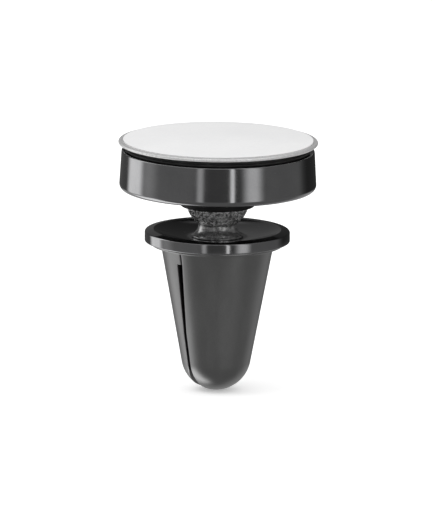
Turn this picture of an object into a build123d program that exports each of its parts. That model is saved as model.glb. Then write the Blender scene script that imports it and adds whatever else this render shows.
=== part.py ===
"""Magnetic car phone mount that clips to an air-vent vane.

Frame: origin at the lowest point of the rounded tip, +Z up along the axis, the vane slot running along X.
The front jaw is on -Y and the rear jaw on +Y. Millimetres.
"""

import os
from math import cos, radians, sin, sqrt, tan

from build123d import *

os.makedirs("parts", exist_ok=True)

# Fits
running = 0.05  # radial play of a shaft, a pin or the ball
play = 0.25  # room kept between pieces that move past each other

# Clip: a round tip under a cone, cut in two by the vane slot
tip_radius = 7.0
taper = 10.5  # degrees from the axis
clip_length = 29.6  # tip to the underside of the collar
jaw_top_gap = 0.35
jaw_wall = 1.5
slot_height = 26.9
slot_half_top = 0.65
slot_half_low = 0.37
slot_top_y = -0.27  # middle of the slot at its upper end
slot_low_y = 0.75  # middle of the slot below the bend, so that the front jaw holds the tip's centre
bend_height = 12.3
mouth_height = 4.6
front_flare = 0.2
rear_flare = 1.4
parting_gap = 0.25

# Grip pads
pad_half_width = 4.6
pad_back = 1.9  # from the middle of the slot's run to the back of a pad
pad_low = 5.5
pad_top_land = 1.3
rib_radius = 0.22
rib_pitch = 1.5
rib_recess = 0.12

# Collar, hub and jaw pivots
collar_overhang = 2.05
collar_thick = 0.7
collar_foot_fillet = 0.3
hub_wall = 1.1
hub_drop = 5.8
cavity_drop = 0.7  # room under the hub
pivot_drop = 1.9
pin_radius = 0.6
ear_radius = 1.1
ear_inner = 2.6
ear_outer = 3.6
knuckle_inner = 1.5
spring_wire = 0.2
spring_play = 0.2
spring_turns = 5
spring_pitch = 0.45
spring_leg = 1.9

# Flange cap
flange_overhang = 1.2
flange_height = 2.45
flange_foot_fillet = 0.2
bevel_width = 1.85
bevel_height = 0.45
bevel_fillet = 0.4
rim_fillet = 0.2
dish_depth = 1.45
dish_flat = 0.7  # flat floor outside the foot of the stud

# Screws that hold the core to the flange cap
core_screw_count = 4
core_screw_radius = 0.7
core_screw_head_radius = 1.3
core_screw_head = 0.7
core_screw_bite = 0.9

# Ball stud, its bush, washer and nut
ball_radius = 6.45
ball_rise = 6.3  # ball centre above the flange rim
neck_radius = 3.8
foot_radius = 5.2
foot_edge = 0.3
shank_radius = 1.5
shank_chamfer = 0.3
bush_wall = 0.95
bush_flange_width = 1.1
bush_flange = 0.6
bush_length = 4.4
washer_width = 1.7
washer_thick = 0.5
nut_height = 2.4
nut_wall = 1.25  # from the thread to a flat
nut_play = 0.3

# Socket
socket_wall = 0.95
socket_drop = 1.5  # boss below the ball centre
socket_chamfer = 0.2
socket_flange = 1.0
socket_flange_width = 2.0
cup_drop = 2.75  # lower edge of the pressure cup above the ball centre
cup_crown = 0.65
cup_play = 0.06
cup_hole_radius = 1.5
disc_spring_height = 1.0
disc_spring_thick = 0.4
disc_spring_hole = 3.2
socket_cap_thick = 0.8

# Head
head_radius = 19.8
head_draft = 0.45  # how much the wall leans in over the head's height
head_rise = 1.8  # head underside above the ball centre
head_floor = 1.75
cap_room = 0.45  # between the socket's cap and the face pad
head_wall = 1.2
head_foot_fillet = 1.15
head_lip_fillet = 0.4
thrust_thick = 0.45
yoke_thick = 0.8
ring_play = 0.1
hub_play = 0.5
magnet_count = 6
magnet_wall = 0.95

# Screws that hold the carrier in the head
head_screw_count = 3
head_screw_radius = 0.9
head_screw_head_radius = 1.6
head_screw_head = 1.2
head_screw_bite = 1.6
boss_radius = 2.1

# Face pad, plate, adhesive and liner
pad_plug = 0.45
pad_inset = 0.6
pad_height = 1.25
pad_chamfer = 0.2
plate_radius = 20.0
plate_thick = 0.6
plate_fillet = 0.25
liner_inset = 0.95
adhesive_thick = 0.15
liner_thick = 0.1

# Heights and radii worked out from the sizes above
tangent_z = tip_radius * (1 - sin(radians(taper)))
tangent_radius = tip_radius * cos(radians(taper))


def cone_radius(z):
    """Outer radius of the clip's cone at height z."""
    return tangent_radius + tan(radians(taper)) * (z - tangent_z)


def face_y(side, z):
    """Where a jaw's slot face is at height z: upright up to the bend, then leaning to the slot's upper end."""
    low = slot_low_y + side * slot_half_low
    top = slot_top_y + side * slot_half_top
    rise = max(0, (z - bend_height) / (slot_height - bend_height))
    return low + (top - low) * rise


collar_z = clip_length
jaw_top = collar_z - jaw_top_gap
hub_low = collar_z - hub_drop
bush_radius = shank_radius + running + bush_wall
bush_flange_radius = bush_radius + bush_flange_width
washer_radius = shank_radius + washer_width
nut_half_flats = shank_radius + nut_wall
nut_pocket_radius = max(washer_radius, nut_half_flats / cos(radians(30))) + nut_play
hub_radius = nut_pocket_radius + hub_wall
spring_radius = pin_radius + spring_wire + spring_play
cavity_floor = hub_low - cavity_drop
pivot_z = collar_z - pivot_drop
ear_reach = cone_radius(pivot_z) - jaw_wall - play
pivot_y = sqrt(ear_reach**2 - ear_outer**2) - ear_radius
pad_top = cavity_floor - pad_top_land
slot_middle = (slot_top_y + slot_low_y) / 2
parting_y = {
    -1: slot_top_y - slot_half_top,
    1: slot_top_y - slot_half_top + parting_gap,
}

collar_radius = cone_radius(collar_z) + collar_overhang
flange_radius = collar_radius + flange_overhang
flange_z = collar_z + collar_thick
rim_z = flange_z + flange_height
rim_radius = flange_radius - bevel_width
floor_z = rim_z - dish_depth
core_screw_pitch = cone_radius(jaw_top) - jaw_wall - 2 * play - core_screw_head_radius

ball_z = rim_z + ball_rise
neck_z = ball_z - sqrt(ball_radius**2 - neck_radius**2)
foot_z = floor_z + running
bush_low = floor_z - bush_length
washer_top = bush_low - running
nut_top = washer_top - washer_thick
shank_low = hub_low + running

seat_radius = ball_radius + running
boss_low = ball_z - socket_drop
socket_radius = seat_radius + socket_wall
head_z = ball_z + head_rise
floor_top = head_z + head_floor
socket_flange_z = floor_top + running
socket_flange_top = socket_flange_z + socket_flange
socket_flange_radius = socket_radius + socket_flange_width
cup_low = ball_z + cup_drop
cup_top = ball_z + seat_radius + cup_crown
socket_top = cup_top + disc_spring_height

socket_cap_top = socket_top + socket_cap_thick
face_z = socket_cap_top + cap_room
head_top = face_z + pad_plug - ring_play
head_top_radius = head_radius - head_draft
head_bore = head_top_radius - head_wall
thrust_z = socket_flange_top + running
yoke_z = thrust_z + thrust_thick
carrier_z = yoke_z + yoke_thick
ring_outer = head_bore - ring_play
ring_inner = socket_radius + hub_play
magnet_pitch = (ring_outer + ring_inner) / 2
magnet_radius = (ring_outer - ring_inner) / 2 - magnet_wall
magnet_step = 360 / magnet_count
head_screw_z = face_z - ring_play - 2 * head_screw_head

face_top = face_z + pad_plug + pad_height
plate_top = face_top + plate_thick
adhesive_top = plate_top + adhesive_thick
liner_top = adhesive_top + liner_thick
liner_radius = plate_radius - liner_inset
far = 2 * clip_length


def washer(outer, bore, low, high):
    """A flat ring around the axis."""
    with BuildPart() as ring:
        with BuildSketch(Plane.XY.offset(low)):
            Circle(outer)
            Circle(bore, mode=Mode.SUBTRACT)
        extrude(amount=high - low)
    return ring


def disc(radius, low, high):
    """A flat disc around the axis."""
    with BuildPart() as plain:
        with BuildSketch(Plane.XY.offset(low)):
            Circle(radius)
        extrude(amount=high - low)
    return plain


def edges_at(part, radius, z):
    """The circular edges of a part at one radius and height."""
    rings = part.edges().filter_by(GeomType.CIRCLE)
    return [e for e in rings if abs(e.radius - radius) < 1e-4 and abs(e.center().Z - z) < 1e-4]


def save(piece, label):
    """Label a finished piece and write its STEP file."""
    piece.part.label = label
    export_step(piece.part, f"parts/{label}.step")


# Flange cap: a revolved disc with a bevelled rim and a dished top
with BuildPart() as flange_cap:
    with BuildSketch(Plane.XZ):
        with BuildLine():
            Polyline(
                (bush_radius, flange_z),
                (flange_radius, flange_z),
                (flange_radius, rim_z - bevel_height),
                (rim_radius, rim_z),
            )
            TangentArc((foot_radius + dish_flat, floor_z), (rim_radius, rim_z), tangent=(1, 0))
            Polyline(
                (foot_radius + dish_flat, floor_z),
                (bush_flange_radius, floor_z),
                (bush_flange_radius, floor_z - bush_flange),
                (bush_radius, floor_z - bush_flange),
                (bush_radius, flange_z),
            )
        make_face()
    revolve(axis=Axis.Z)
    fillet(edges_at(flange_cap, flange_radius, rim_z - bevel_height), bevel_fillet)
    fillet(edges_at(flange_cap, flange_radius, flange_z), flange_foot_fillet)
    fillet(edges_at(flange_cap, rim_radius, rim_z), rim_fillet)
    with BuildSketch(Plane.XY.offset(flange_z)):
        with PolarLocations(core_screw_pitch, core_screw_count, start_angle=45):
            Circle(core_screw_radius)
    extrude(amount=core_screw_bite, mode=Mode.SUBTRACT)
save(flange_cap, "flange_cap")

# Clip core: collar, hub with the stud's bore and nut pocket, and four ears for the jaw pins
with BuildPart() as clip_core:
    with BuildSketch(Plane.XY.offset(collar_z)):
        Circle(collar_radius)
    extrude(amount=collar_thick)
    with BuildSketch(Plane.XY.offset(hub_low)):
        Circle(hub_radius)
    extrude(amount=hub_drop)
    fillet(edges_at(clip_core, collar_radius, collar_z), collar_foot_fillet)
    for side in (-1, 1):
        for ear_start in (-ear_outer, ear_inner):
            with BuildSketch(Plane.YZ.offset(ear_start)):
                with Locations((side * pivot_y, pivot_z)):
                    Circle(ear_radius)
                with Locations((side * pivot_y, pivot_z + pivot_drop / 2)):
                    Rectangle(2 * ear_radius, pivot_drop)
            extrude(amount=ear_outer - ear_inner)
        with BuildSketch(Plane.YZ):
            with Locations((side * pivot_y, pivot_z)):
                Circle(pin_radius)
        extrude(amount=ear_outer, both=True, mode=Mode.SUBTRACT)
    with BuildSketch(Plane.XY.offset(hub_low)):
        Circle(nut_pocket_radius)
    extrude(amount=bush_low - hub_low, mode=Mode.SUBTRACT)
    with BuildSketch(Plane.XY.offset(bush_low)):
        Circle(bush_radius)
    extrude(amount=flange_z - bush_low, mode=Mode.SUBTRACT)
    with BuildSketch(Plane.XY.offset(collar_z)):
        with PolarLocations(core_screw_pitch, core_screw_count, start_angle=45):
            Circle(core_screw_radius)
    extrude(amount=collar_thick, mode=Mode.SUBTRACT)
save(clip_core, "clip_core")

# Bush: flanged, flush with the floor of the dish
with BuildPart() as stud_bush:
    with BuildSketch(Plane.XY.offset(bush_low)):
        Circle(bush_radius)
    extrude(amount=bush_length)
    with BuildSketch(Plane.XY.offset(floor_z - bush_flange)):
        Circle(bush_flange_radius)
    extrude(amount=bush_flange)
    with BuildSketch(Plane.XY.offset(bush_low)):
        Circle(shank_radius + running)
    extrude(amount=bush_length, mode=Mode.SUBTRACT)
save(stud_bush, "stud_bush")

# Core screws: one group of separate pan heads, driven up through the collar
with BuildPart() as core_screws:
    with BuildSketch(Plane.XY.offset(collar_z - core_screw_head)):
        with PolarLocations(core_screw_pitch, core_screw_count, start_angle=45):
            Circle(core_screw_head_radius)
    extrude(amount=core_screw_head)
    with BuildSketch(Plane.XY.offset(collar_z)):
        with PolarLocations(core_screw_pitch, core_screw_count, start_angle=45):
            Circle(core_screw_radius)
    extrude(amount=collar_thick + core_screw_bite)
save(core_screws, "core_screws")


def pivot_pin(side):
    """Pin along X through two ears of the core."""
    with BuildPart() as pin:
        with BuildSketch(Plane.YZ):
            with Locations((side * pivot_y, pivot_z)):
                Circle(pin_radius)
        extrude(amount=ear_outer, both=True)
    return pin


def jaw(side, flare, land):
    """Half of the tapered clip, with its mouth flared, and a land above the slot at each given y."""
    with BuildPart() as half:
        with BuildSketch(Plane.XZ):
            with BuildLine():
                CenterArc((0, tip_radius), tip_radius, -90, 90 - taper)
                Polyline(
                    (tangent_radius, tangent_z),
                    (cone_radius(jaw_top), jaw_top),
                    (0, jaw_top),
                    (0, 0),
                )
            make_face()
        revolve(axis=Axis.Z)
        with BuildSketch(Plane.XZ):
            with BuildLine():
                Polyline(
                    (0, cavity_floor),
                    (cone_radius(cavity_floor) - jaw_wall, cavity_floor),
                    (cone_radius(jaw_top) - jaw_wall, jaw_top),
                    (0, jaw_top),
                    close=True,
                )
            make_face()
        revolve(axis=Axis.Z, mode=Mode.SUBTRACT)
        for start in (-ear_inner + play / 2, knuckle_inner):
            with BuildSketch(Plane.YZ.offset(start)):
                with Locations((side * pivot_y, pivot_z)):
                    Circle(ear_radius)
                wall_y = cone_radius(pivot_z) - jaw_wall / 2
                with Locations((side * (pivot_y + wall_y) / 2, pivot_z)):
                    Rectangle(wall_y - pivot_y, 2 * ear_radius)
            extrude(amount=ear_inner - play / 2 - knuckle_inner)
        with BuildSketch(Plane.YZ):
            with Locations((side * pivot_y, pivot_z)):
                Circle(pin_radius + running)
        extrude(amount=ear_inner, both=True, mode=Mode.SUBTRACT)
        with BuildSketch(Plane.YZ):
            with BuildLine():
                Polyline(
                    (face_y(side, 0) + side * flare, 0),
                    (face_y(side, mouth_height), mouth_height),
                    (face_y(side, bend_height), bend_height),
                    (face_y(side, slot_height), slot_height),
                    *[(y, slot_height) for y in land],
                    (parting_y[side], jaw_top),
                    (side * far, jaw_top),
                    (side * far, 0),
                    close=True,
                )
            make_face()
        extrude(amount=far, both=True, mode=Mode.INTERSECT)
        with BuildSketch(Plane.YZ):
            with BuildLine():
                Polyline(
                    (-side * pad_back, pad_low),
                    (side * pad_back + slot_middle, pad_low),
                    (side * pad_back + slot_middle, pad_top),
                    (-side * pad_back, pad_top),
                    close=True,
                )
            make_face()
        extrude(amount=pad_half_width, both=True, mode=Mode.SUBTRACT)
    return half


def grip_pad(side):
    """Ribbed silicone pad that fills the pocket in a jaw's slot face."""
    recess = side * (rib_recess + rib_radius)
    back = side * pad_back + slot_middle
    rib_count = int((pad_top - pad_low) / rib_pitch)
    first_rib = (pad_low + pad_top - (rib_count - 1) * rib_pitch) / 2
    ribs = [first_rib + i * rib_pitch for i in range(rib_count)]
    with BuildPart() as pad:
        with BuildSketch(Plane.YZ):
            with BuildLine():
                Polyline(
                    (back, pad_low),
                    (face_y(side, pad_low) + recess, pad_low),
                    (face_y(side, bend_height) + recess, bend_height),
                    (face_y(side, pad_top) + recess, pad_top),
                    (back, pad_top),
                    close=True,
                )
            make_face()
            with Locations([(face_y(side, z) + recess, z) for z in ribs]):
                Circle(rib_radius)
        extrude(amount=pad_half_width, both=True)
    return pad


def jaw_spring(side):
    """Torsion spring around a pin, with one leg towards the hub and one towards the jaw's wall."""
    length = spring_turns * spring_pitch
    start = (-length / 2, side * pivot_y, pivot_z)
    with BuildPart() as spring:
        with BuildLine() as coil:
            turns = Helix(spring_pitch, length, spring_radius, center=start, direction=(1, 0, 0))
            Line(turns @ 0, turns @ 0 - (turns % 0) * spring_leg)
            Line(turns @ 1, turns @ 1 + (turns % 1) * spring_leg)
        path = coil.wires()[0]
        with BuildSketch(Plane(origin=path @ 0, z_dir=path % 0)):
            Circle(spring_wire)
        sweep(path=path, is_frenet=True)
    return spring


for side, name, flare, land in ((-1, "front", front_flare, []), (1, "rear", rear_flare, [parting_y[1]])):
    save(pivot_pin(side), f"pivot_pin_{name}")
    save(jaw(side, flare, land), f"{name}_jaw")
    save(grip_pad(side), f"{name}_grip_pad")
    save(jaw_spring(side), f"{name}_jaw_spring")

# Ball stud: ball, flared neck and threaded shank in one turned piece
with BuildPart() as ball_stud:
    with BuildSketch(Plane.XZ):
        with BuildLine():
            RadiusArc((0, ball_z + ball_radius), (ball_radius, ball_z), ball_radius)
            RadiusArc((ball_radius, ball_z), (neck_radius, neck_z), ball_radius)
            TangentArc((neck_radius, neck_z), (foot_radius, foot_z + foot_edge), tangent=(0, -1))
            Polyline(
                (foot_radius, foot_z + foot_edge),
                (foot_radius, foot_z),
                (shank_radius, foot_z),
                (shank_radius, shank_low + shank_chamfer),
                (shank_radius - shank_chamfer, shank_low),
                (0, shank_low),
                (0, ball_z + ball_radius),
            )
        make_face()
    revolve(axis=Axis.Z)
save(ball_stud, "ball_stud")

save(washer(washer_radius, shank_radius, nut_top, washer_top), "stud_washer")

with BuildPart() as stud_nut:
    with BuildSketch(Plane.XY.offset(nut_top - nut_height)):
        RegularPolygon(nut_half_flats, 6, major_radius=False)
        Circle(shank_radius, mode=Mode.SUBTRACT)
    extrude(amount=nut_height)
save(stud_nut, "stud_nut")

# Ball socket: boss with a spherical seat, an outer flange inside the head, and a straight bore above
with BuildPart() as ball_socket:
    mouth_radius = sqrt(seat_radius**2 - socket_drop**2)
    with BuildSketch(Plane.XZ):
        with BuildLine():
            RadiusArc((seat_radius, ball_z), (mouth_radius, boss_low), seat_radius)
            Polyline(
                (mouth_radius, boss_low),
                (socket_radius, boss_low),
                (socket_radius, socket_flange_z),
                (socket_flange_radius, socket_flange_z),
                (socket_flange_radius, socket_flange_top),
                (socket_radius, socket_flange_top),
                (socket_radius, socket_top),
                (seat_radius, socket_top),
                (seat_radius, ball_z),
            )
        make_face()
    revolve(axis=Axis.Z)
    chamfer(edges_at(ball_socket, socket_radius, boss_low), socket_chamfer)
save(ball_socket, "ball_socket")

# Pressure cup: a block with a spherical underside, sliding in the socket above the ball
with BuildPart() as pressure_cup:
    cup_mouth = sqrt(seat_radius**2 - cup_drop**2)
    cup_crown_z = ball_z + sqrt(seat_radius**2 - cup_hole_radius**2)
    with BuildSketch(Plane.XZ):
        with BuildLine():
            RadiusArc((cup_hole_radius, cup_crown_z), (cup_mouth, cup_low), seat_radius)
            Polyline(
                (cup_mouth, cup_low),
                (seat_radius - cup_play, cup_low),
                (seat_radius - cup_play, cup_top),
                (cup_hole_radius, cup_top),
                (cup_hole_radius, cup_crown_z),
            )
        make_face()
    revolve(axis=Axis.Z)
save(pressure_cup, "pressure_cup")

# Cup spring: a disc spring between the cup and the cap
with BuildPart() as cup_spring:
    with BuildSketch(Plane.XZ):
        with BuildLine():
            Polyline(
                (seat_radius - play, cup_top),
                (seat_radius - play, cup_top + disc_spring_thick),
                (disc_spring_hole, socket_top),
                (disc_spring_hole, socket_top - disc_spring_thick),
                close=True,
            )
        make_face()
    revolve(axis=Axis.Z)
save(cup_spring, "cup_spring")

save(disc(socket_radius, socket_top, socket_cap_top), "socket_cap")

# Head shell: a drafted cup with a rounded foot, a rolled lip, a hole for the socket and three screw bosses
with BuildPart() as head_shell:
    with BuildSketch(Plane.XZ):
        with BuildLine():
            Polyline(
                (socket_radius + running, head_z),
                (head_radius, head_z),
                (head_top_radius, head_top),
                (head_bore, head_top),
                (head_bore, floor_top),
                (socket_radius + running, floor_top),
                close=True,
            )
        make_face()
    revolve(axis=Axis.Z)
    with BuildSketch(Plane.XY.offset(floor_top)):
        with PolarLocations(magnet_pitch, head_screw_count, start_angle=magnet_step / 2):
            Circle(boss_radius)
    extrude(amount=yoke_z - floor_top)
    with BuildSketch(Plane.XY.offset(floor_top)):
        Circle(socket_flange_radius + play)
    extrude(amount=yoke_z - floor_top, mode=Mode.SUBTRACT)
    with BuildSketch(Plane.XY.offset(yoke_z - head_screw_bite)):
        with PolarLocations(magnet_pitch, head_screw_count, start_angle=magnet_step / 2):
            Circle(head_screw_radius)
    extrude(amount=head_screw_bite, mode=Mode.SUBTRACT)
    fillet(edges_at(head_shell, head_radius, head_z), head_foot_fillet)
    fillet(edges_at(head_shell, head_top_radius, head_top), head_lip_fillet)
save(head_shell, "head_shell")

save(washer(socket_flange_radius, ring_inner, thrust_z, yoke_z), "thrust_washer")

# Yoke ring: mild steel behind the magnets, drilled for the screws
with BuildPart() as yoke_ring:
    with BuildSketch(Plane.XY.offset(yoke_z)):
        Circle(ring_outer)
        Circle(ring_inner, mode=Mode.SUBTRACT)
        with PolarLocations(magnet_pitch, head_screw_count, start_angle=magnet_step / 2):
            Circle(head_screw_radius, mode=Mode.SUBTRACT)
    extrude(amount=yoke_thick)
save(yoke_ring, "yoke_ring")

# Magnet carrier: a ring with a pocket for each magnet and counterbored screw holes between them
with BuildPart() as magnet_carrier:
    with BuildSketch(Plane.XY.offset(carrier_z)):
        Circle(ring_outer)
        Circle(ring_inner, mode=Mode.SUBTRACT)
        with PolarLocations(magnet_pitch, magnet_count):
            Circle(magnet_radius, mode=Mode.SUBTRACT)
        with PolarLocations(magnet_pitch, head_screw_count, start_angle=magnet_step / 2):
            Circle(head_screw_radius, mode=Mode.SUBTRACT)
    extrude(amount=face_z - carrier_z)
    with BuildSketch(Plane.XY.offset(head_screw_z)):
        with PolarLocations(magnet_pitch, head_screw_count, start_angle=magnet_step / 2):
            Circle(head_screw_head_radius)
    extrude(amount=face_z - head_screw_z, mode=Mode.SUBTRACT)
save(magnet_carrier, "magnet_carrier")

# Magnets: flush with the carrier's top, resting on the yoke
for index in range(magnet_count):
    angle = radians(index * magnet_step)
    with BuildPart() as magnet:
        with BuildSketch(Plane.XY.offset(carrier_z)):
            with Locations((magnet_pitch * cos(angle), magnet_pitch * sin(angle))):
                Circle(magnet_radius)
        extrude(amount=face_z - carrier_z)
    save(magnet, f"magnet_{index + 1}")

# Head screws: one group, through the carrier and the yoke into the shell's bosses
with BuildPart() as head_screws:
    with BuildSketch(Plane.XY.offset(yoke_z - head_screw_bite)):
        with PolarLocations(magnet_pitch, head_screw_count, start_angle=magnet_step / 2):
            Circle(head_screw_radius)
    extrude(amount=head_screw_z - yoke_z + head_screw_bite)
    with BuildSketch(Plane.XY.offset(head_screw_z)):
        with PolarLocations(magnet_pitch, head_screw_count, start_angle=magnet_step / 2):
            Circle(head_screw_head_radius)
    extrude(amount=head_screw_head)
save(head_screws, "head_screws")

# Face pad: a rubber disc that plugs into the shell's mouth and laps over its lip
with BuildPart() as face_pad:
    with BuildSketch(Plane.XY.offset(face_z)):
        Circle(ring_outer)
    extrude(amount=pad_plug)
    with BuildSketch(Plane.XY.offset(face_z + pad_plug)):
        Circle(head_top_radius - pad_inset)
    extrude(amount=pad_height)
    chamfer(edges_at(face_pad, head_top_radius - pad_inset, face_top), pad_chamfer)
save(face_pad, "face_pad")

# Steel plate with its adhesive and release liner: lifts off the face pad
with BuildPart() as steel_plate:
    with BuildSketch(Plane.XY.offset(face_top)):
        Circle(plate_radius)
    extrude(amount=plate_thick)
    fillet(edges_at(steel_plate, plate_radius, plate_top), plate_fillet)
save(steel_plate, "steel_plate")
save(disc(liner_radius, plate_top, adhesive_top), "adhesive_pad")
save(disc(liner_radius, adhesive_top, liner_top), "release_liner")
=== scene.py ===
"""Looks of a magnetic car phone mount: a drum head on a ball joint over a sprung air-vent clip."""

from math import acos, atan, cos, pi, radians, sin, sqrt, tan

import bmesh
import bpy
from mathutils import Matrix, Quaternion, Vector


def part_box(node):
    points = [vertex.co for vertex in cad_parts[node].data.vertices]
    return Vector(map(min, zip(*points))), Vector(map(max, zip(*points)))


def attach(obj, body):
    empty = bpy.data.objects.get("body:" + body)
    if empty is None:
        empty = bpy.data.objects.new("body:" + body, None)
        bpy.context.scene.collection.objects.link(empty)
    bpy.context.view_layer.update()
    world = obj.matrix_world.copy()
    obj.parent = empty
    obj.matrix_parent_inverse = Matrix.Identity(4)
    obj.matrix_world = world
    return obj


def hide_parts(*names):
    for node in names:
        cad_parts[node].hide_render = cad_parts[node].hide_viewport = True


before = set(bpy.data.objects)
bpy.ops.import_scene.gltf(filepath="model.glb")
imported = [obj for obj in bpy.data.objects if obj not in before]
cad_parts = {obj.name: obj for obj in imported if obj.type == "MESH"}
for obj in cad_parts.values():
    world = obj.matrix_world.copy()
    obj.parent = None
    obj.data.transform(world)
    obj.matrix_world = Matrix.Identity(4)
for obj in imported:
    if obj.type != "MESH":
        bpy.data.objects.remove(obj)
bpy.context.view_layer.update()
mm = 0.001

# Head shell. A turned and polished alloy drum under a dark, glossy metallic coat, with a rolled lip
# at its mouth and a rounded foot. The socket passes through its floor, and the face pad closes it.


class Field:
    """A shader socket in arithmetic: operators add Math nodes, and node() adds any other node."""

    def __init__(self, tree, socket=None):
        self.tree = tree
        self.socket = socket

    def node(self, kind, settings=None, values=None, output=0):
        """Add a node: its settings first, then the values or links of its sockets."""
        made = self.tree.nodes.new(kind)
        for key, value in (settings or {}).items():
            if key == "stops":
                elements = made.color_ramp.elements
                elements[0].position, elements[0].color = value[0]
                elements[1].position, elements[1].color = value[-1]
                for position, colour in value[1:-1]:
                    elements.new(position).color = colour
            else:
                setattr(made, key, value)
        for key, value in (values or {}).items():
            if isinstance(value, Field):
                self.tree.links.new(value.socket, made.inputs[key])
            else:
                made.inputs[key].default_value = value
        return Field(self.tree, made.outputs[output])

    def math(self, operation, *others):
        return self.node("ShaderNodeMath", {"operation": operation}, dict(enumerate((self, *others))))

    def __add__(self, other):
        return self.math("ADD", other)

    __radd__ = __add__

    def __sub__(self, other):
        return self.math("SUBTRACT", other)

    def __rsub__(self, other):
        return self * -1 + other

    def __mul__(self, other):
        return self.math("MULTIPLY", other)

    def __truediv__(self, other):
        return self.math("DIVIDE", other)

    def step(self, low, high):
        """A smooth step from 0 at low to 1 at high."""
        return self.node(
            "ShaderNodeMapRange",
            {"interpolation_type": "SMOOTHSTEP"},
            {"Value": self, "From Min": low, "From Max": high},
        )

    def window(self, centre, half, soft):
        """1 within half of the centre, falling smoothly to 0 over the soft edge."""
        return 1 - (self - centre).math("ABSOLUTE").step(half - soft, half + soft)

    def noise(self, scale, detail=3.0, stretch=(1, 1, 1)):
        """Fractal noise on this vector, stretched along its axes."""
        spread = self.node("ShaderNodeMapping", {}, {"Vector": self, "Scale": stretch})
        return self.node("ShaderNodeTexNoise", {}, {"Vector": spread, "Scale": scale, "Detail": detail})

    def specks(self, scale, low, high):
        """Small scattered spots: 1 at the middle of a cell, 0 past the high distance."""
        cells = self.node("ShaderNodeTexVoronoi", {}, {"Vector": self, "Scale": scale})
        return 1 - cells.step(low, high)

    def axis(self, index):
        return self.node("ShaderNodeSeparateXYZ", {}, {0: self}, index)

    def blend(self, dark, light):
        """A colour between two greys or colours, with this field as the factor."""
        pair = [(*c, 1) if isinstance(c, tuple) else (c, c, c, 1) for c in (dark, light)]
        return self.node("ShaderNodeMix", {"data_type": "RGBA"}, {0: self, 6: pair[0], 7: pair[1]}, 2)


def surface(name, look, bump=0.2, depth=0.02, **fixed):
    """A material. Its look takes object coordinates and gives colour, roughness and height fields."""
    made = bpy.data.materials.new(name)
    made.use_nodes = True
    shader = made.node_tree.nodes["Principled BSDF"]
    for key, value in fixed.items():
        shader.inputs[key.replace("_", " ")].default_value = value
    place = Field(made.node_tree).node("ShaderNodeTexCoord", output=3)
    colour, roughness, height = look(place)
    relief = place.node("ShaderNodeBump", {}, {"Height": height, "Strength": bump, "Distance": depth * mm})
    for socket, field in (("Base Color", colour), ("Roughness", roughness), ("Normal", relief)):
        made.node_tree.links.new(field.socket, shader.inputs[socket])
    return made


def arc(centre, radius, start, end, steps=10):
    """Points of an arc in the (radius, height) plane, angles in degrees anticlockwise from outwards."""
    turns = [radians(start + (end - start) * i / steps) for i in range(steps + 1)]
    return [(centre[0] + radius * cos(t), centre[1] + radius * sin(t)) for t in turns]


def finish_mesh(name, points, faces, material, sharp=35):
    """A smooth piece from points in millimetres, with doubles merged and faces turned outwards."""
    mesh = bpy.data.meshes.new(name)
    mesh.from_pydata([(x * mm, y * mm, z * mm) for x, y, z in points], [], faces)
    work = bmesh.new()
    work.from_mesh(mesh)
    bmesh.ops.remove_doubles(work, verts=work.verts, dist=1e-4 * mm)
    bmesh.ops.dissolve_degenerate(work, edges=work.edges, dist=1e-5 * mm)
    bmesh.ops.recalc_face_normals(work, faces=work.faces)
    work.to_mesh(mesh)
    work.free()
    mesh.shade_smooth()
    mesh.set_sharp_from_angle(angle=radians(sharp))
    mesh.materials.append(material)
    piece = bpy.data.objects.new(name, mesh)
    bpy.context.scene.collection.objects.link(piece)
    return piece


def turned(name, outline, material, segments=288, drive=0):
    """A closed solid of revolution from an outline of (radius, height) points in millimetres.

    Radii up to drive are waved into six lobes, for the recess in a screw's head."""
    points, rings, faces = [], [], []
    for r, z in outline:
        count = segments if r > 0 else 1
        rings.append([len(points) + i for i in range(count)])
        for i in range(count):
            turn = 2 * pi * i / count
            wide = r * (1 + 0.16 * cos(6 * turn)) if r <= drive else r
            points.append((wide * cos(turn), wide * sin(turn), z))
    for low, high in zip(rings, rings[1:] + rings[:1]):
        if len(low) == len(high) == 1:
            continue
        for i in range(segments):
            j = i + 1
            corners = [low[i % len(low)], low[j % len(low)], high[j % len(high)], high[i % len(high)]]
            faces.append(list(dict.fromkeys(corners)))
    return finish_mesh(name, points, faces, material)


def place_piece(piece, body, slot, *nodes):
    """Let a piece stand for CAD nodes, on their body; the slot is not used."""
    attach(piece, body)
    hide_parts(*nodes)


def heights(node):
    """A node's lowest and highest z, and its outer radius, in millimetres."""
    low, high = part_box(node)
    return low[2] / mm, high[2] / mm, (high[0] - low[0]) / 2 / mm


def gunmetal_look(place):
    """Dark metallic coat: fine flake, a faint orange peel, light handling haze and a few dust specks."""
    flake = place.noise(5200, 3)
    haze = place.noise(160, 4)
    peel = place.noise(900, 2)
    dust = place.specks(700, 0.02, 0.05)
    colour = (flake * 0.5 + haze * 0.5).step(0.3, 0.72).blend((0.262, 0.262, 0.268), (0.318, 0.318, 0.322))
    roughness = haze.step(0.35, 0.7) * 0.045 + flake * 0.03 + dust * 0.2 + 0.075
    return colour, roughness, peel * 0.6 + flake * 0.15 + dust * 0.5


gunmetal = surface(
    "gunmetal_coat", gunmetal_look, 0.2, 0.012, Metallic=1.0, Coat_Weight=0.25, Coat_Roughness=0.05
)

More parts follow.
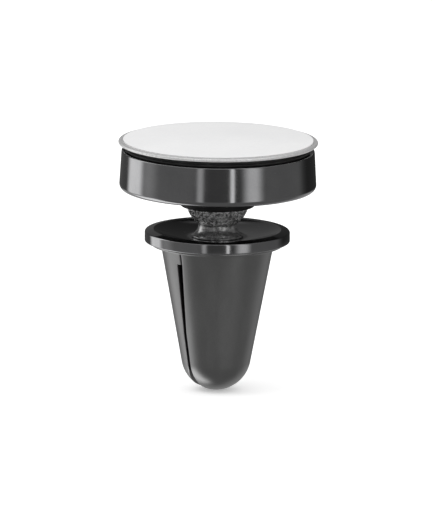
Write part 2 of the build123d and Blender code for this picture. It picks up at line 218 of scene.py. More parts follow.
shell_low, shell_high, shell_radius = heights("head_shell")
socket_radius = heights("socket_cap")[2]
foot_round = 1.15
lip_round = 0.26
lip_radius = 19.35
shell_bore = 18.15
shell_floor = 1.75
hole_radius = socket_radius + 0.06
head_shell = turned(
    "head_shell_coated",
    [(hole_radius, shell_low), (shell_radius - foot_round - 1.2, shell_low)]
    + arc((shell_radius - foot_round, shell_low + foot_round), foot_round, -88, 3, 14)
    + [(lip_radius + 0.03, shell_high - 2 * lip_round)]
    + arc((lip_radius - lip_round, shell_high - lip_round), lip_round, 4, 176, 14)
    + [(shell_bore, shell_high - 0.9), (shell_bore, shell_low + shell_floor)]
    + [(hole_radius, shell_low + shell_floor)],
    gunmetal,
)


def underside_shade_look(place):
    """Near-black matt coat on the drum's underside, painted shade for the little light it gets there, with a
    coarse spray grain and a few rubbed rings.
    """
    grain = place.noise(2600, 4)
    rubbed = place.noise(300, 2)
    dust = place.specks(1100, 0.02, 0.05)
    # The near-black colour is painted shade; the rubbed rings and dust specks are real marks.
    colour = (rubbed.step(0.5, 0.8) * 0.5 + dust * 0.8).blend(0.006, 0.016)
    return colour, grain * 0.15 + 0.6, grain


underside_shade_coat = surface("underside_painted_shade", underside_shade_look, 0.3, 0.03, Specular_IOR_Level=0.2)
head_shell.data.materials.append(underside_shade_coat)
# The drum's flat underside faces take the near-black coat, painted shade where little light reaches.
for face in head_shell.data.polygons:
    if face.normal.z < -0.95 and face.center.z < (shell_low + 0.1) * mm:
        face.material_index = 1
place_piece(head_shell, "head", "gunmetal", "head_shell")

# Face pad. A moulded rubber disc pressed into the shell's mouth, with a bead round its edge that
# laps the lip. Its soft matt face keeps the plate from sliding.


def rubber_look(place):
    """Matt rubber: a fine moulded grain, a greyer bloom in patches and scattered lint."""
    grain = place.noise(4200, 4)
    bloom = place.noise(240, 3)
    lint = place.specks(900, 0.03, 0.07)
    colour = (bloom.step(0.4, 0.75) * 0.7 + lint * 0.6).blend(0.011, 0.03)
    return colour, grain * 0.2 + bloom * 0.1 + 0.52, grain


face_rubber = surface("face_rubber", rubber_look, 0.35, 0.03, Specular_IOR_Level=0.4)

pad_low, pad_high, pad_radius = heights("face_pad")
bead = 0.24
plug_radius = 17.85
plug_height = 0.45
bead_z = pad_low + plug_height + bead
face_pad = turned(
    "face_pad_rubber",
    [(0, pad_low), (plug_radius, pad_low), (plug_radius, pad_low + plug_height)]
    + [(pad_radius - bead, pad_low + 0.46)]
    + arc((pad_radius - bead, bead_z), bead, -90, 70, 10)
    + [(pad_radius - 0.42, bead_z + bead), (pad_radius - 0.5, pad_high - 0.12), (pad_radius - 0.62, pad_high)]
    + [(0, pad_high)],
    face_rubber,
)
place_piece(face_pad, "head", "face_rubber", "face_pad")

# Plate. A stamped steel disc, tumbled so that its edge is round and bright, with a satin rolled face.
# It lifts off with the phone: white foam tape covers it, under a white release liner.


def plate_look(place):
    """Rolled and tumbled steel: a fine random grain, small dings and a few darker stains."""
    grain = place.noise(2600, 5)
    rolling = place.noise(700, 2, (1, 9, 1))
    dings = place.specks(1100, 0.04, 0.12)
    tone = grain.step(0.3, 0.7) * 0.7 + rolling * 0.3 - dings * 0.3
    return tone.blend(0.6, 0.78), 0.52 - tone * 0.12 + dings * 0.1, grain * 0.8 + rolling * 0.3 - dings


tumbled_steel = surface("tumbled_steel", plate_look, 0.5, 0.025, Metallic=0.62)

plate_low, plate_high, plate_radius = heights("steel_plate")
edge_round = (plate_high - plate_low) / 2
plate_mid = plate_low + edge_round
steel_plate = turned(
    "steel_plate_tumbled",
    [(0, plate_low)]
    + arc((plate_radius - edge_round, plate_mid), edge_round, -90, 90, 16)
    + [(0, plate_high)],
    tumbled_steel,
)
place_piece(steel_plate, "plate", "plate_steel", "steel_plate")


def tape_look(place):
    """Foam tape seen at its cut edge: fine open cells."""
    cells = place.specks(5200, 0.2, 0.5)
    return cells.blend(0.7, 0.52), cells * 0.2 + 0.7, cells


foam_tape = surface("foam_tape", tape_look, 0.4, 0.02)
tape_low, tape_high, tape_radius = heights("adhesive_pad")
tape = turned(
    "foam_tape_disc",
    [(0, tape_low), (tape_radius - 0.05, tape_low), (tape_radius - 0.08, tape_high), (0, tape_high)],
    foam_tape,
)
place_piece(tape, "plate", "adhesive", "adhesive_pad")


def liner_look(place):
    """Coated paper: soft fibre mottling, a hint of curl-grain and a matt, even white."""
    fibre = place.noise(1500, 5, (1, 3, 1))
    cloud = place.noise(90, 2)
    tone = fibre * 0.6 + cloud * 0.4
    return tone.step(0.3, 0.7).blend((0.80, 0.80, 0.805), (0.845, 0.845, 0.845)), tone * 0.2 + 0.42, fibre


liner_paper = surface("liner_paper", liner_look, 0.12, 0.02, Specular_IOR_Level=0.3)
liner_low, liner_high, liner_radius = heights("release_liner")
liner_edge = (liner_high - liner_low) / 2
release_liner = turned(
    "release_liner_disc",
    [(0, liner_low)]
    + arc((liner_radius - liner_edge, liner_low + liner_edge), liner_edge, -90, 90, 8)
    + [(0, liner_high)],
    liner_paper,
)
place_piece(release_liner, "plate", "liner", "release_liner")

# Ball joint. A turned steel stud with a polished, nickel-plated ball on a flared neck stands in the
# dish of the flange. The black acetal socket above it grips the ball and turns in the head's floor.


stud_low, ball_top, ball_radius = heights("ball_stud")
foot_low = heights("stud_bush")[1] + 0.05
ball_z = ball_top - ball_radius
neck_radius = 3.8
foot_radius = 5.2
foot_edge = 0.3
shank_radius = 1.5
neck_turn = -90 + acos(sqrt(1 - (neck_radius / ball_radius) ** 2)) * 180 / pi
neck_z = ball_z - sqrt(ball_radius**2 - neck_radius**2)
flare_drop = neck_z - foot_low - foot_edge
flare_out = foot_radius - neck_radius
flare_radius = (flare_drop**2 + flare_out**2) / (2 * flare_out)
flare_turn = acos(1 - flare_out / flare_radius) * 180 / pi


def plated_look(place):
    """Nickel plate: mottled and scuffed on the ball, where the socket works it, and smoother on the neck."""
    worn = place.axis(2).step((neck_z - 0.5) * mm, (neck_z + 0.7) * mm) * 0.85 + 0.15
    mottle = place.noise(1700, 3)
    rings = place.noise(5200, 2, (0.04, 0.04, 1))
    scuff = place.noise(420, 3, (1, 1, 5)).step(0.52, 0.72)
    tone = mottle.step(0.35, 0.68) * worn * 0.8 + (1 - worn) * 0.1 + rings * 0.3
    colour = (tone * (1 - scuff * 0.4)).step(0.05, 0.85).blend(0.2, 1.0)
    return colour, 0.16 + scuff * 0.12 + mottle * 0.1, mottle * worn * 0.6 + rings * 0.12


plated_steel = surface("plated_steel", plated_look, 0.7, 0.05, Metallic=0.75)
thread_pitch = 0.5
thread_depth = 0.14
thread_count = int((foot_low - stud_low) / thread_pitch) - 1
thread = []
for turn in range(thread_count):
    crest = foot_low - 0.6 - turn * thread_pitch
    thread += [(shank_radius, crest), (shank_radius - thread_depth, crest - thread_pitch / 2)]
ball_stud = turned(
    "ball_stud_plated",
    arc((0, ball_z), ball_radius, 90, neck_turn, 64)[1:]
    + arc((neck_radius + flare_radius, neck_z), flare_radius, 180, 180 + flare_turn, 16)[1:]
    + [(foot_radius, foot_low + 0.08), (foot_radius - 0.08, foot_low), (shank_radius, foot_low)]
    + thread
    + [(shank_radius - 0.3, stud_low), (0, stud_low), (0, ball_top)],
    plated_steel,
)
place_piece(ball_stud, "stud", "plated_steel", "ball_stud")


def acetal_look(place):
    """Black acetal: a faint waxy mottle, drag marks from the mould and a dusting of pale specks."""
    mottle = place.noise(500, 4)
    drag = place.noise(2400, 2, (1, 1, 0.08))
    dust = place.specks(1300, 0.02, 0.05)
    colour = (mottle.step(0.4, 0.7) * 0.5 + dust * 0.7).blend(0.004, 0.012)
    return colour, mottle * 0.15 + drag * 0.1 + 0.42, drag * 0.5 + mottle * 0.4


acetal = surface("black_acetal", acetal_look, 0.2, 0.02, Specular_IOR_Level=0.25)

boss_low, socket_top, flange_reach = heights("ball_socket")
flange_low = shell_low + shell_floor + 0.05
seat_radius = ball_radius + 0.05
mouth_turn = -acos(sqrt(1 - ((ball_z - boss_low) / seat_radius) ** 2)) * 180 / pi
boss_round = 0.22
flange_top = flange_low + 1
ball_socket = turned(
    "ball_socket_acetal",
    arc((0, ball_z), seat_radius, 0, mouth_turn, 8)
    + arc((socket_radius - boss_round, boss_low + boss_round), boss_round, -90, 0, 6)
    + [(socket_radius, flange_low), (flange_reach, flange_low), (flange_reach, flange_top)]
    + [(socket_radius, flange_top), (socket_radius, socket_top), (seat_radius, socket_top)],
    acetal,
)
place_piece(ball_socket, "socket", "black_plastic", "ball_socket")

# Flange cap. A cast disc in the same dark coat as the head, with a bevelled rim and a smooth dish
# round the foot of the stud. Four small screws from below hold it to the core.

cap_low, rim_high, cap_radius = heights("flange_cap")
bush_radius = 2.5
bush_flange = 3.6
bush_recess = 0.6
bush_seat = foot_low - 0.05
rim_out = 1.85
rim_drop = 0.45
rim_radius = cap_radius - rim_out
dish_flat = foot_radius + 0.7
dish_rise = rim_high - bush_seat
dish_run = rim_radius - 0.15 - dish_flat
dish_radius = (dish_run**2 + dish_rise**2) / (2 * dish_rise)
dish_turn = acos(1 - dish_rise / dish_radius) * 180 / pi
bevel_turn = atan(rim_drop / rim_out) * 180 / pi
side_top = rim_high - rim_drop
side_round = 0.42
foot_ease = 0.25
rim_ease = 0.16
flange_cap = turned(
    "flange_cap_coated",
    [(bush_radius, cap_low), (cap_radius - foot_ease - 0.6, cap_low)]
    + arc((cap_radius - foot_ease, cap_low + foot_ease), foot_ease, -90, 0, 10)
    + arc((cap_radius - side_round, side_top - 0.2), side_round, 0, 90 - bevel_turn, 10)
    + arc((rim_radius + 0.1, rim_high - rim_ease), rim_ease, 90 - bevel_turn, 115, 8)
    + arc((dish_flat, bush_seat + dish_radius), dish_radius, -90 + dish_turn * 0.985, -90, 28)
    + [(bush_flange, bush_seat), (bush_flange, bush_seat - bush_recess)]
    + [(bush_radius, bush_seat - bush_recess)],
    gunmetal,
)
place_piece(flange_cap, "clip", "gunmetal", "flange_cap")

# Core. A moulded collar, flush under the flange, with the hub for the stud's nut and four ears for the
# jaws' pins below it. It is the same satin plastic as the jaws, so its edge shows as a fine line.


def satin_look(place):
    """Satin metallic-filled plastic: spark-eroded grain, flow marks down the draw and light scuffs."""
    grain = place.noise(3600, 4)
    flow = place.noise(260, 3, (1, 1, 0.3))
    scuff = place.noise(900, 2, (0.6, 0.6, 5)).step(0.66, 0.8)
    dust = place.specks(1000, 0.02, 0.05)
    colour = (flow * 0.55 + grain * 0.3 + scuff * 0.15 + dust * 0.2).step(0.25, 0.8).blend(0.27, 0.36)
    return colour, grain * 0.08 + flow * 0.06 + scuff * 0.05 + 0.27, grain * 0.8 + flow * 0.3 + dust * 0.5


satin_plastic = surface("satin_plastic", satin_look, 0.3, 0.02, Metallic=1.0)


def dress(material, *nodes):
    """Give pieces whose shape is already right their finish."""
    for node in nodes:
        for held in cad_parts[node].material_slots:
            held.material = material


dress(satin_plastic, "clip_core")


# Jaws. The tapered clip is two moulded halves in dark satin plastic, hinged under the collar, with
# the vane slot between them. Silicone pads sit in their slot faces, and the tip is flared for the vane.


tip_radius = 7.0
taper = radians(10.5)
cone_start = tip_radius * (1 - sin(taper))
slot_top = 26.9
slot_bend = 12.3
mouth_top = 4.6
cavity_low = 23.1
jaw_wall = 1.5
corner = 0.14
jaw_top = heights("front_jaw")[1]


def clip_radius(z):
    """Radius of the round tip, and of the cone above it."""
    if z < cone_start:
        return sqrt(max(0, tip_radius**2 - (tip_radius - z) ** 2))
    return tip_radius * cos(taper) + tan(taper) * (z - cone_start)


def lerp(a, b, t):
    return a + (b - a) * min(1, max(0, t))


def jaw_half(name, side, low_face, high_face, flare, land, node, body):
    """One jaw, lofted through its sections: the outer arc, two eased corners and the slot face."""
    dome = [tip_radius * (1 - cos((pi / 2 - taper) * i / 40)) for i in range(41)]
    cone = [lerp(cone_start, jaw_top, i / 60) for i in range(61)]
    levels = sorted({round(z, 4) for z in dome + cone + [mouth_top, slot_bend, slot_top]})
    cuts = []
    for z in levels:
        face = lerp(low_face, high_face, (z - slot_bend) / (slot_top - slot_bend))
        face += flare * max(0, 1 - z / mouth_top)
        if z <= slot_top:
            cuts.append((z, face * side))
        if z >= slot_top:
            cuts.append((z, land * side))
    points, faces, rows = [], [], 0
    around, across = 120, 12
    for z, face in cuts:
        radius = clip_radius(z)
        if radius < face:
            continue
        # Turned so that each jaw keeps what lies past its slot face
        spread = acos(lerp(-1, 1, (face / radius + 1) / 2)) if radius > 0 else 0
        half = sqrt(max(0, radius**2 - face**2))
        ease = min(corner, half / 3)
        lag = ease / radius if radius > ease else 0
        sweep = [(spread - lag) * (2 * i / around - 1) for i in range(around + 1)]
        ring = [(radius * sin(a), radius * cos(a)) for a in sweep]
        level = max(face, -radius)
        flat = [((half - ease) * (1 - 2 * i / across), level) for i in range(across + 1)]
        turns = [(ring[-1], flat[0], half), (flat[-1], ring[0], -half)]
        eased = [((a[0] + b[0] + 2 * x) / 4, (a[1] + b[1] + 2 * level) / 4) for a, b, x in turns]
        loop = ring + eased[:1] + flat + eased[1:]
        points += [(x, y * side, z) for x, y in loop]
        rows += 1
    count = len(points) // rows
    for row in range(rows - 1):
        for i in range(count):
            a, b = row * count + i, row * count + (i + 1) % count
            faces.append([a, b, b + count, a + count])
    faces.append(list(range(count)))
    faces.append([(rows - 1) * count + i for i in range(count)])
    solid = finish_mesh(name, points, faces, satin_plastic, 32)
    cutters = [
        turned(
            name + "_cavity",
            [
                (0, cavity_low),
                (clip_radius(cavity_low) - jaw_wall, cavity_low),
                (clip_radius(jaw_top + 1) - jaw_wall, jaw_top + 1),
                (0, jaw_top + 1),
            ],
            satin_plastic,
            96,
        )
    ]
    pad_low, pad_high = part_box(node)
    x, z0, z1 = pad_high[0] / mm, pad_low[2] / mm, pad_high[2] / mm
    back = (pad_low[1] if side < 0 else pad_high[1]) / mm
    reach = back - side * 4
    box_points = [(sx * x, y, z) for sx in (-1, 1) for y in (back, reach) for z in (z0, z1)]
    box_faces = [[0, 1, 3, 2], [4, 5, 7, 6], [0, 1, 5, 4], [2, 3, 7, 6], [0, 2, 6, 4], [1, 3, 7, 5]]
    cutters.append(finish_mesh(name + "_pocket", box_points, box_faces, satin_plastic))
    for cutter in cutters:
        cut = solid.modifiers.new("cut", "BOOLEAN")
        cut.operation = "DIFFERENCE"
        cut.solver = "EXACT"
        cut.object = cutter
    graph = bpy.context.evaluated_depsgraph_get()
    shaped = bpy.data.meshes.new_from_object(solid.evaluated_get(graph))
    solid.modifiers.clear()
    solid.data = shaped
    shaped.shade_smooth()
    shaped.set_sharp_from_angle(angle=radians(32))
    for cutter in cutters:
        bpy.data.objects.remove(cutter)
    place_piece(solid, body, "jaw_plastic", body)


front_low, front_high, front_flare, front_land = 0.38, -0.92, -0.2, -0.92
rear_low, rear_high, rear_flare, rear_land = 1.12, 0.38, 1.4, -0.67
jaw_half(
    "front_jaw_moulding", -1, front_low, front_high, front_flare, front_land, "front_grip_pad", "front_jaw"
)
jaw_half("rear_jaw_moulding", 1, rear_low, rear_high, rear_flare, rear_land, "rear_grip_pad", "rear_jaw")

# Grip pads. A ribbed strip of matt black silicone is pressed into a pocket in each jaw's slot face.
# Its ribs run across the vane and stand just proud of the strip, a little below the plastic.


def silicone_look(place):
    """Matt silicone: a fine moulded grain, cloudy bloom and the lint that it picks up."""
    grain = place.noise(5200, 3)
    bloom = place.noise(420, 4)
    lint = place.specks(1500, 0.03, 0.08)
    colour = (bloom.step(0.4, 0.75) * 0.6 + lint * 0.6).blend(0.012, 0.04)
    return colour, grain * 0.15 + bloom * 0.15 + 0.55, grain * 0.7 + bloom * 0.3


silicone = surface("grip_silicone", silicone_look, 0.4, 0.03, Specular_IOR_Level=0.35)


def grown(piece, tree, inputs):
    """Run a node tree on a piece with the given inputs, and keep the plain mesh that it makes."""
    grow = piece.modifiers.new("grow", "NODES")
    grow.node_group = tree
    for item in tree.interface.items_tree:
        if item.in_out == "INPUT" and item.name in inputs:
            grow[item.identifier] = inputs[item.name]
    graph = bpy.context.evaluated_depsgraph_get()
    made = bpy.data.meshes.new_from_object(piece.evaluated_get(graph))
    piece.modifiers.clear()
    piece.data = made
    return piece


def new_tree(name, sizes):
    """An empty node tree with a geometry input and output, and one named input for each size."""
    tree = bpy.data.node_groups.new(name, "GeometryNodeTree")
    tree.interface.new_socket("Geometry", in_out="INPUT", socket_type="NodeSocketGeometry")
    for size in sizes:
        kind = {"Count": "Int", "Seed": "Int", "Material": "Material"}.get(size, "Float")
        tree.interface.new_socket(size, in_out="INPUT", socket_type="NodeSocket" + kind)
    tree.interface.new_socket("Geometry", in_out="OUTPUT", socket_type="NodeSocketGeometry")
    given = tree.nodes.new("NodeGroupInput")
    return tree, {socket.name: Field(tree, socket) for socket in given.outputs if socket.name}


def close_tree(shape, material):
    """End a tree: instances made real, their finish set, and the result passed out."""
    whole = shape.node("GeometryNodeRealizeInstances", {}, {"Geometry": shape})
    faced = shape.node("GeometryNodeSetMaterial", {}, {"Geometry": whole, "Material": material})
    ending = shape.tree.nodes.new("NodeGroupOutput")
    shape.tree.links.new(faced.socket, ending.inputs[0])


pad_sizes = ["Count", "Pitch", "First", "Rib radius", "Length", "Low face", "High face", "Bend", "Top"]
pad_tree, given = new_tree("ribbed_strip", pad_sizes)
line = given["Count"].node(
    "GeometryNodeMeshLine",
    {},
    {
        "Count": given["Count"],
        "Start Location": given["First"].node("ShaderNodeCombineXYZ", {}, {2: given["First"]}),
        "Offset": given["Pitch"].node("ShaderNodeCombineXYZ", {}, {2: given["Pitch"]}),
    },
)
rib_z = line.node("GeometryNodeInputPosition").axis(2)
rise_share = ((rib_z - given["Bend"]) / (given["Top"] - given["Bend"])).math("MAXIMUM", 0.0)
rib_y = given["Low face"] + (given["High face"] - given["Low face"]) * rise_share
rows = line.node(
    "GeometryNodeSetPosition",
    {},
    {"Geometry": line, "Offset": rib_y.node("ShaderNodeCombineXYZ", {}, {1: rib_y})},
)
rib = given["Rib radius"].node(
    "GeometryNodeMeshCylinder",
    {},
    {"Vertices": 20, "Radius": given["Rib radius"], "Depth": given["Length"]},
)
ribs = rows.node(
    "GeometryNodeInstanceOnPoints",
    {},
    {"Points": rows, "Instance": rib, "Rotation": (0, pi / 2, 0)},
)
strip = ribs.node("GeometryNodeJoinGeometry")
for part in (ribs, given["Geometry"]):
    pad_tree.links.new(part.socket, strip.socket.node.inputs[0])
close_tree(strip, silicone)

rib_radius = 0.22
rib_pitch = 1.5
pad_recess = 0.34


def grip_pad(name, side, low_face, high_face, node, body):
    """One strip: its backing drawn in profile with eased edges, and its ribs grown along the slot face."""
    low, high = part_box(node)
    wide, z0, z1 = high[0] / mm, low[2] / mm, high[2] / mm
    back = (low[1] if side < 0 else high[1]) / mm
    first, last = low_face + side * pad_recess, high_face + side * pad_recess
    profile = [(back, z0), (first, z0), (first, slot_bend)]
    profile += [(lerp(first, last, (z1 - slot_bend) / (slot_top - slot_bend)), z1), (back, z1)]
    points = [(x, y, z) for x in (-wide, wide) for y, z in profile]
    sides = [[i, (i + 1) % 5, (i + 1) % 5 + 5, i + 5] for i in range(5)]
    strip = finish_mesh(name, points, [[0, 1, 2, 3, 4], [9, 8, 7, 6, 5], *sides], silicone)
    eased = strip.modifiers.new("eased", "BEVEL")
    eased.width, eased.segments = 0.07 * mm, 2
    count = int((z1 - z0) / rib_pitch)
    sizes = {
        "Count": count,
        "Pitch": rib_pitch * mm,
        "First": (z0 + z1 - (count - 1) * rib_pitch) / 2 * mm,
        "Rib radius": rib_radius * mm,
        "Length": 2 * (wide - 0.02) * mm,
        "Low face": first * mm,
        "High face": last * mm,
        "Bend": slot_bend * mm,
        "Top": slot_top * mm,
    }
    place_piece(grown(strip, pad_tree, sizes), body, "silicone", node)


grip_pad("front_grip_strip", -1, front_low, front_high, "front_grip_pad", "front_jaw")
grip_pad("rear_grip_strip", 1, rear_low, rear_high, "rear_grip_pad", "rear_jaw")

# Magnets. Six nickel-plated neodymium discs with broken edges, pressed into the carrier on one ring
# and resting on the yoke. The carrier's other holes take the screws.


def nickel_look(place):
    """Barrel-plated nickel: a warm grey mirror with fine tumbling scratches and small chips."""
    scratch = place.noise(2600, 3, (1, 6, 1))
    cloud = place.noise(500, 3)
    chips = place.specks(900, 0.03, 0.06)
    tone = scratch * 0.5 + cloud * 0.5 - chips * 0.4
    return tone.blend((0.5, 0.49, 0.46), (0.72, 0.7, 0.66)), scratch * 0.15 + chips * 0.3 + 0.14, tone


nickel = surface("barrel_nickel", nickel_look, 0.3, 0.02, Metallic=1.0)

ring_tree, given = new_tree("ring_of_pieces", ["Count", "Pitch radius", "Turn", "Spin", "Seed", "Material"])
circle = given["Count"].node(
    "GeometryNodeMeshCircle", {}, {"Vertices": given["Count"], "Radius": given["Pitch radius"]}
)
turn = given["Turn"].node("ShaderNodeCombineXYZ", {}, {2: given["Turn"]})
circle = circle.node("GeometryNodeTransform", {}, {"Geometry": circle, "Rotation": turn})
spin = given["Spin"].node("FunctionNodeRandomValue", {}, {3: given["Spin"], "Seed": given["Seed"]}, 1)
pieces = circle.node(
    "GeometryNodeInstanceOnPoints",
    {},
    {
        "Points": circle,
        "Instance": given["Geometry"],
        "Rotation": spin.node("ShaderNodeCombineXYZ", {}, {2: spin}),
    },
)
close_tree(pieces, given["Material"])


def in_ring(piece, count, pitch, turn, spin, seed, material):
    """Repeat one piece round the axis, at a pitch radius in millimetres, each spun by up to some degrees."""
    sizes = {"Count": count, "Pitch radius": pitch * mm, "Turn": radians(turn), "Spin": radians(spin)}
    return grown(piece, ring_tree, {**sizes, "Seed": seed, "Material": material})


magnet_count = 6
magnet_ease = 0.15
magnet_low, magnet_high = heights("magnet_1")[:2]
near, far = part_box("magnet_1")
magnet_pitch = (near[0] + far[0]) / 2 / mm
magnet_radius = (far[0] - near[0]) / 2 / mm
magnet = turned(
    "magnet_discs",
    [(0, magnet_low), (magnet_radius - magnet_ease, magnet_low)]
    + arc((magnet_radius - magnet_ease, magnet_low + magnet_ease), magnet_ease, -75, 0, 3)
    + arc((magnet_radius - magnet_ease, magnet_high - magnet_ease), magnet_ease, 0, 75, 3)
    + [(magnet_radius - magnet_ease, magnet_high), (0, magnet_high)],
    nickel,
    72,
)
magnets = in_ring(magnet, magnet_count, magnet_pitch, 0, 0, 0, nickel)
place_piece(magnets, "head", "magnet_nickel", *[f"magnet_{i + 1}" for i in range(magnet_count)])
dress(acetal, "magnet_carrier", "socket_cap")

# Screws. Zinc-plated pan heads with a six-lobe recess: three hold the magnets' carrier and yoke to the
# drum's bosses, and four hold the core up to the flange cap. Their threads bite in the castings.


def zinc_look(place):
    """Zinc plate: a cloudy grey passivate with fine crystals and darker handling marks."""
    cloud = place.noise(700, 4)
    crystals = place.specks(4200, 0.15, 0.5)
    marks = place.noise(260, 2).step(0.55, 0.75)
    tone = cloud * 0.6 + crystals * 0.4 - marks * 0.2
    return tone.blend((0.4, 0.41, 0.42), (0.66, 0.66, 0.65)), cloud * 0.15 + marks * 0.12 + 0.26, tone


zinc = surface("zinc_plate", zinc_look, 0.3, 0.02, Metallic=1.0)


def pan_screw(name, seat, way, head_radius, head_height, shank_radius, tip):
    """One pan-head screw on the axis: its head stands from the seat in the way given, its shank opposite."""
    drive = head_radius * 0.5
    depth = head_height * 0.55
    crown = head_height * 0.55
    face = [(0, head_height - depth), (drive * 0.9, head_height - depth), (drive, head_height)]
    rounded = arc((head_radius - crown, head_height - crown), crown, 80, 0, 6)
    pitch = 0.35
    turns = int((abs(tip - seat) - 0.3) / pitch)
    thread = []
    for turn in range(turns):
        crest = -0.1 - turn * pitch
        thread += [(shank_radius, crest), (shank_radius - 0.12, crest - pitch / 2)]
    end = -abs(tip - seat)
    outline = face + rounded + [(head_radius, 0), (shank_radius, 0)] + thread
    outline += [(shank_radius - 0.2, end), (0, end)]
    return turned(name, [(r, seat + way * z) for r, z in outline], zinc, 48, drive)


screw_low, screw_high = heights("head_screws")[:2]
head_screw_head = 1.2
head_screw_head_radius = 1.6
head_screw_shank = 0.9
head_screw_seat = screw_high - head_screw_head
head_screw = pan_screw(
    "head_screws_zinc", head_screw_seat, 1, head_screw_head_radius, head_screw_head, head_screw_shank, screw_low
)
head_screws = in_ring(head_screw, count=3, pitch=magnet_pitch, turn=30, spin=60, seed=3, material=zinc)
place_piece(head_screws, "head", "zinc_steel", "head_screws")

screw_low, screw_high = heights("core_screws")[:2]
core_screw_head = 0.7
core_screw_head_radius = 1.3
core_screw_shank = 0.7
core_screw_seat = screw_low + core_screw_head
core_pitch = (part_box("core_screws")[1][0] / mm - core_screw_head_radius) * sqrt(2)
core_screw = pan_screw(
    "core_screws_zinc",
    core_screw_seat,
    -1,
    core_screw_head_radius,
    core_screw_head,
    core_screw_shank,
    screw_high,
)
core_screws = in_ring(core_screw, count=4, pitch=core_pitch, turn=45, spin=60, seed=8, material=zinc)
place_piece(core_screws, "clip", "zinc_steel", "core_screws")

# Fixings. The stud's washer and nut and the jaws' pins are zinc-plated steel like the screws. The jaw
# springs and the socket's disc spring are drawn spring steel, and the yoke is plain sheet.

dress(zinc, "stud_washer", "stud_nut", "pivot_pin_front", "pivot_pin_rear")


def wire_look(place):
    """Drawn spring steel: straight draw lines, an oily film in patches and a few rust pricks."""
    drawn = place.noise(5200, 3, (1, 0.15, 0.15))
    oil = place.noise(600, 3)
    rust = place.specks(2400, 0.02, 0.05)
    colour = (drawn * 0.6 + oil * 0.4 - rust * 0.5).blend((0.28, 0.27, 0.26), (0.52, 0.52, 0.53))
    return colour, oil * 0.2 + rust * 0.3 + 0.22, drawn


def sheet_look(place):
    """Cold-rolled sheet: rolling lines one way, a film of oil and faint brown stains."""
    rolled = place.noise(3200, 3, (0.08, 1, 1))
    oil = place.noise(240, 4)
    stain = place.noise(520, 3).step(0.6, 0.8)
    colour = (rolled * 0.6 + oil * 0.4 - stain * 0.3).blend((0.3, 0.29, 0.28), (0.52, 0.52, 0.52))
    return colour, oil * 0.18 + stain * 0.2 + 0.28, rolled


spring_wire = surface("spring_wire", wire_look, 0.3, 0.01, Metallic=1.0)
rolled_sheet = surface("rolled_sheet", sheet_look, 0.3, 0.015, Metallic=1.0)
dress(spring_wire, "front_jaw_spring", "rear_jaw_spring", "cup_spring")
dress(rolled_sheet, "yoke_ring")

# Bearings. The stud's bush, the head's thrust washer and the cup above the ball are natural nylon,
# turned or moulded, and yellowed a little by the grease.


def nylon_look(place):
    """Natural nylon: milky, with faint turning rings, flow clouds and traces of grease."""
    rings = place.noise(4200, 2, (0.3, 0.3, 1))
    cloud = place.noise(380, 4)
    grease = place.noise(200, 3).step(0.55, 0.8)
    colour = (cloud * 0.6 + grease * 0.4).blend((0.74, 0.72, 0.66), (0.6, 0.56, 0.46))
    return colour, 0.42 - grease * 0.15 + cloud * 0.1, rings


nylon = surface("natural_nylon", nylon_look, 0.2, 0.02, Subsurface_Weight=0.1, Subsurface_Scale=0.001)
dress(nylon, "stud_bush", "thrust_washer", "pressure_cup")

# Studio. A pale floor under an even overhead light. Soft boxes at the sides and narrow strips in front
# show only in reflections; the camera sees a plain white world behind the piece.

camera_turn = radians(-45)
camera_rise = radians(11.35)
camera_roll = radians(0.6)
view_height = 0.1028
distance = 3.0
aim = Vector((-0.00015, 0.00015, 0.0271))
back = Vector((sin(camera_turn) * cos(camera_rise), -cos(camera_turn) * cos(camera_rise), sin(camera_rise)))
camera_data = bpy.data.cameras.new("camera")
camera_data.sensor_width = 36
camera_data.lens = 36 * distance / view_height
camera_data.clip_end = 20
camera = bpy.data.objects.new("camera", camera_data)
camera.location = aim + back * distance
camera.rotation_mode = "QUATERNION"
camera.rotation_quaternion = (-back).to_track_quat("-Z", "Y") @ Quaternion((0, 0, 1), camera_roll)
bpy.context.scene.collection.objects.link(camera)
bpy.context.scene.camera = camera
bpy.context.scene.view_settings.view_transform = "Standard"


def floor_look(place):
    """Seamless white board with a barely visible cloudiness."""
    cloud = place.noise(3, 2)
    return cloud.blend(0.93, 0.94), cloud * 0.05 + 0.9, cloud


white = (1, 1, 1, 1)
floor_paint = surface(
    "floor_paint", floor_look, 0.01, 0.01, Specular_IOR_Level=0.0, Emission_Color=white, Emission_Strength=0.3
)
reach = 4000
floor_z = -0.03
floor = finish_mesh(
    "floor",
    [(-reach, -reach, floor_z), (reach, -reach, floor_z), (reach, reach, floor_z), (-reach, reach, floor_z)],
    [[0, 1, 2, 3]],
    floor_paint,
)
floor.visible_glossy = False

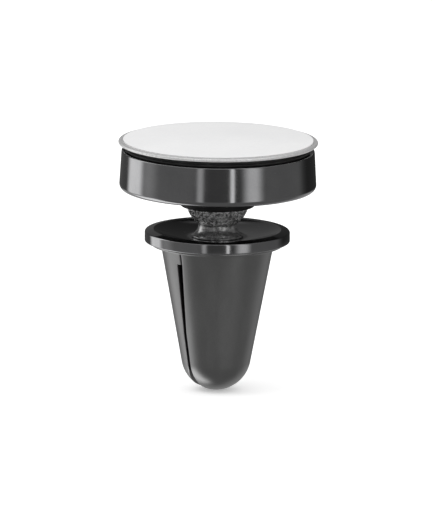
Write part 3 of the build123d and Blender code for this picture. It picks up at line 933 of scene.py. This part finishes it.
world = bpy.data.worlds.new("studio")
world.use_nodes = True
bpy.context.scene.world = world
sky = Field(world.node_tree)
ray = sky.node("ShaderNodeTexCoord")
toward = Vector((sin(camera_turn), -cos(camera_turn), 0))
right = Vector((cos(camera_turn), sin(camera_turn), 0))
ahead = ray.node("ShaderNodeVectorMath", {"operation": "DOT_PRODUCT"}, {0: ray, 1: toward}, 1)
across = ray.node("ShaderNodeVectorMath", {"operation": "DOT_PRODUCT"}, {0: ray, 1: right}, 1)
azimuth = across.math("ARCTAN2", ahead) * (180 / pi)
rise = ray.axis(2).math("ARCSINE") * (180 / pi)

upright = rise.window(14, 33, 6)  # what an upright wall of the object mirrors
light = upright * (0.105 - azimuth.step(108, 122) * rise.step(-14, -11) * 0.07)
boxes = [  # azimuth from the front, half width, soft edge, level
    (-116, 14, 6, 1.45),
    (-62, 40, 14, 0.135),
    (-92, 12, 10, 0.25),
    (-20.5, 3.4, 2.6, 0.62),
    (17.3, 2.3, 1.2, 1.6),
    (42, 9.5, 7, 0.94),
    (86, 34, 12, 0.1),
]
for centre, half, soft, level in boxes:
    light = light + azimuth.window(centre, half, soft) * upright * level
overhead = rise.step(38, 62) * 1.25
behind = azimuth.math("ABSOLUTE").step(100, 140) * rise.step(-75, -55)
ground = (1 - rise.step(-21, -13)) * (behind * 0.28 + 0.21)
glint = azimuth.window(-108, 24, 10) * rise.window(-52, 24, 8) * 1.8  # on the left of the ball
light = light + overhead + ground + glint
for_camera = sky.node("ShaderNodeLightPath")
for_diffuse = Field(sky.tree, for_camera.socket.node.outputs["Is Diffuse Ray"])
mirrored = light * (1 - for_diffuse) + for_diffuse
strength = for_camera + (1 - for_camera) * mirrored
backdrop = world.node_tree.nodes["Background"]
backdrop.inputs["Color"].default_value = white
world.node_tree.links.new(strength.socket, backdrop.inputs["Strength"])

key_data = bpy.data.lights.new("key", "AREA")
key_data.shape = "DISK"
key_data.size = 0.6
key_data.energy = 1.6
key = bpy.data.objects.new("key", key_data)
key_aim = Vector((0, 0, 0.03))
key.location = key_aim + Vector((-0.55, 0.25, 0.9))
key.rotation_mode = "QUATERNION"
key.rotation_quaternion = (key_aim - key.location).to_track_quat("-Z", "Y")
key.visible_glossy = False
bpy.context.scene.collection.objects.link(key)
